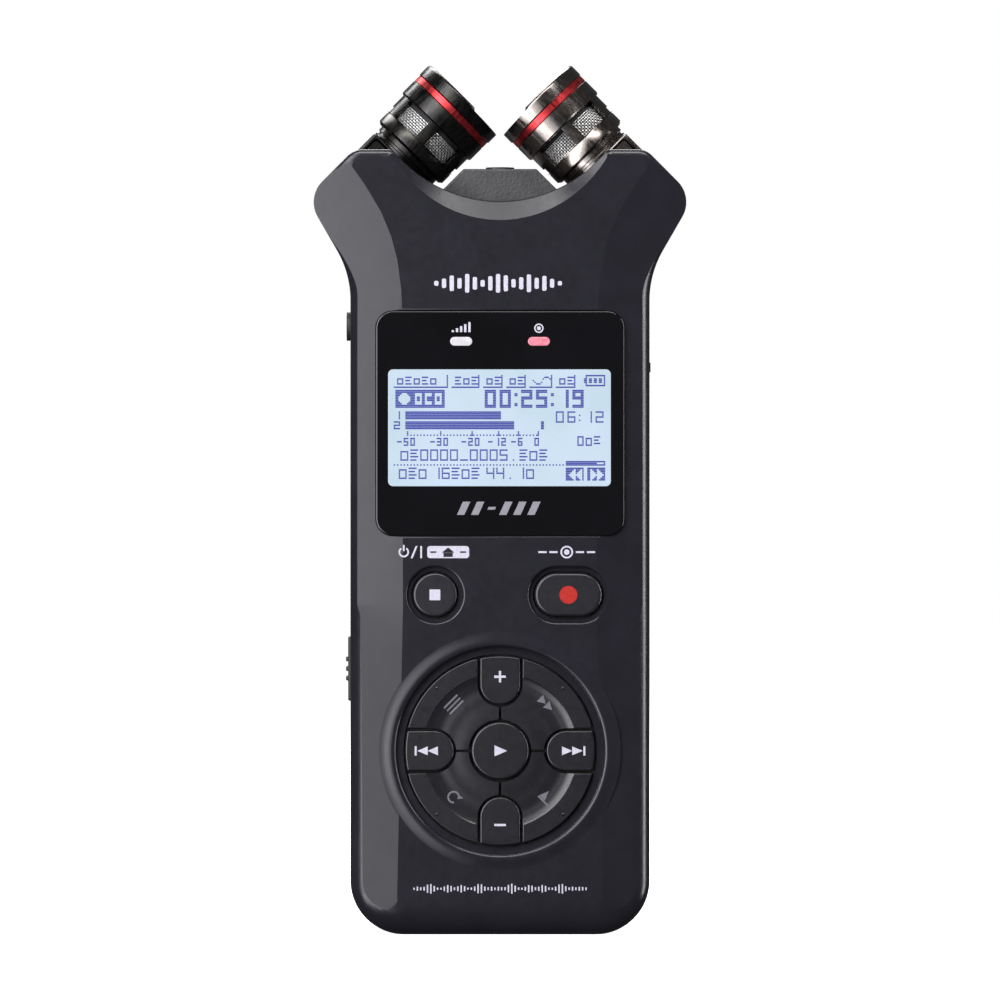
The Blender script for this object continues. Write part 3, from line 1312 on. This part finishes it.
def microphones():
    for name, side, material in (("left", -1, BLACK_METAL), ("right", 1, DARK_CHROME)):
        mic_arm(name, side, material)
        mic_cage(name, side, material)
        mic_wires(name, side)
        mic_grille(name, side)
        mic_rings(name, side, material)


# ---- sides and back ----


def hold_slider():
    """A ribbed cap on the left side, with its stem into the case; built on the right and mirrored."""
    low, high = span("hold_slider")
    mid = middle("hold_slider")
    face, width = HALF_W + 0.5, high.y - low.y
    blocks = [(width, high.z - low.z, 0.4, 0, face - 0.9, face, 0.2)]
    blocks += [(width - 0.5, 0.9, 0.35, i * 1.75, face - 0.2, -low.x, 0.25) for i in (-1, 0, 1)]
    parts = []
    for across, tall, corner, lift, start, end, edge in blocks:
        slab = plate(rounded_rect(across, tall, corner, mid.y, mid.z + lift), start, end, 0, edge)
        parts.append(moved(along_x(slab), Matrix.Scale(-1, 4, (1, 0, 0))))
    parts.append(box((0.8 - face, mid.y - 0.7, mid.z - 1.1), (high.x, mid.y + 0.7, mid.z + 1.1)))
    piece("hold_slider_cap", joined(*parts), INNER, "hold_slider")


def card_door():
    low, high = span("card_door")
    hinge_x, hinge_z = HALF_W - 0.6, low.z + 0.6
    panel = rounded_rect(5.4, high.z - hinge_z, 0.4, SIDE_Y, (hinge_z + high.z) / 2)
    grip = rounded_rect(3.6, 1.8, 0.5, SIDE_Y, high.z - 2.8)
    parts = [along_x(plate(panel, HALF_W - 1.2, HALF_W, 0, 0.2)),
             plate(disc(0.6, hinge_x, hinge_z, 24), SIDE_Y - 2.7, SIDE_Y + 2.7),
             plate(disc(0.35, hinge_x, hinge_z, 16), SIDE_Y - 3.2, SIDE_Y + 3.2),
             along_x(plate(grip, HALF_W - 0.2, high.x, 0, 0.12))]
    piece("card_door_panel", joined(*parts), CASE, "card_door")


def battery_door():
    low, high = span("battery_door")
    hinge_z, hinge_y = high.z - 0.75, high.y - 0.75
    half, over = high.x - 1, high.y + 1
    panel = rounded_rect(2 * half, hinge_z - low.z, 0.6, 0, (low.z + hinge_z) / 2)
    door = as_object("battery_door_panel", plate(panel, high.y - 1.5, high.y, 0.05, 0.3))
    grooves = [plate(stadium(12, 0.75, 0, low.z + 3.35 + i * 1.6), high.y - 0.42, over) for i in range(5)]
    grooves.append(plate(triangle(0, low.z + 13.4, 3.2, 4.0, 90), high.y - 0.25, over))
    carve(door, *grooves)
    soften(door, 0.08)
    weigh_normals(finish_piece(door, REAR, "battery_door"))
    barrel = [along_x(plate(disc(r, hinge_y, hinge_z, 32), -x, x)) for r, x in ((0.75, half), (0.45, high.x))]
    piece("battery_door_hinge", joined(*barrel), REAR, body="battery_door")


def carried_over():
    """Gives the CAD nodes that stay on show the material of their slot."""
    for node, obj in frame["nodes"].items():
        if obj.hide_render:
            continue
        obj.data.materials.clear()
        obj.data.materials.append(BY_SLOT[SLOT_OF[node]])


# ---- stage ----


def floor():
    verts, faces = loft([[(x, y, 0) for x, y in disc(r)] for r in (300, 1000, 2000, 4000)], caps=False)
    faces.append(tuple(range(96)))
    ground = as_object("floor", (verts, faces))
    ground.data.transform(Matrix.Scale(MM, 4))
    paint = Paint("floor_paint", (0.86, 0.86, 0.86), 0.85, emission=0.97)
    paint.drift(120, 2, (0.85, 0.85, 0.855), (0.88, 0.88, 0.88))
    paint.drift(120, 2, (0.97, 0.97, 0.97), (1, 1, 1), "Emission Color")
    paint.relief(paint.noise(1.5, 3), 0.05, 0.2)
    ground.visible_diffuse = False
    ground.visible_glossy = False
    ground.data.materials.append(paint.material)


def soft_light(name, place, width, height, power, colour=(1, 1, 1)):
    """A rectangular lamp that faces the middle of the recorder, in metres and watts."""
    light = bpy.data.lights.new(name, "AREA")
    light.shape = "RECTANGLE"
    light.size, light.size_y = width, height
    light.energy = power
    light.color = colour
    obj = bpy.data.objects.new(name, light)
    obj.location = place
    obj.rotation_euler = (Vector((0, 0, 0.08)) - Vector(place)).to_track_quat("-Z", "Y").to_euler()
    bpy.context.scene.collection.objects.link(obj)


def backdrop():
    """A world that looks white to the camera and lights the scene only faintly."""
    world = bpy.data.worlds.new("studio")
    bpy.context.scene.world = world
    world.use_nodes = True
    tree = world.node_tree
    seen = tree.nodes["Background"]
    glow = tree.nodes.new("ShaderNodeBackground")
    for node, colour, strength in ((seen, (1, 1, 1, 1), 1.0), (glow, (0.93, 0.94, 1.0, 1), 0.07)):
        node.inputs["Color"].default_value = colour
        node.inputs["Strength"].default_value = strength
    path = tree.nodes.new("ShaderNodeLightPath")
    mix = tree.nodes.new("ShaderNodeMixShader")
    tree.links.new(path.outputs["Is Camera Ray"], mix.inputs[0])
    tree.links.new(glow.outputs[0], mix.inputs[1])
    tree.links.new(seen.outputs[0], mix.inputs[2])
    tree.links.new(mix.outputs[0], tree.nodes["World Output"].inputs["Surface"])


def lights():
    soft_light("key_light", (-0.46, -0.54, 0.13), 0.42, 1.0, 8.0, (0.96, 0.97, 1.0))
    soft_light("fill_light", (-0.244, -0.71, 0.13), 0.22, 1.0, 1.5, (0.94, 0.95, 1.0))
    soft_light("right_light", (0.60, -0.10, 0.15), 0.14, 0.7, 2.5)
    soft_light("top_light", (0.0, -0.52, 0.70), 0.7, 0.22, 4)
    soft_light("back_light", (-0.2, 0.65, 0.95), 0.9, 0.6, 16)


def camera():
    data = bpy.data.cameras.new("camera")
    data.lens = 238.2
    data.sensor_width = 36
    view = bpy.data.objects.new("camera", data)
    view.location = (0, FRONT_Y * MM - 1.2, 0.079)
    view.rotation_euler = (math.pi / 2, 0, 0)
    bpy.context.scene.collection.objects.link(view)
    bpy.context.scene.camera = view


front_shell()
rear_shell()
jack_bridge()
display()
screen_dots()
keys()
key_marks()
upper_wave()
key_labels()
lower_wave()
lamp_marks()
badge()
microphones()
hold_slider()
card_door()
battery_door()
carried_over()
floor()
backdrop()
lights()
camera()
bpy.context.scene.view_settings.view_transform = "Standard"
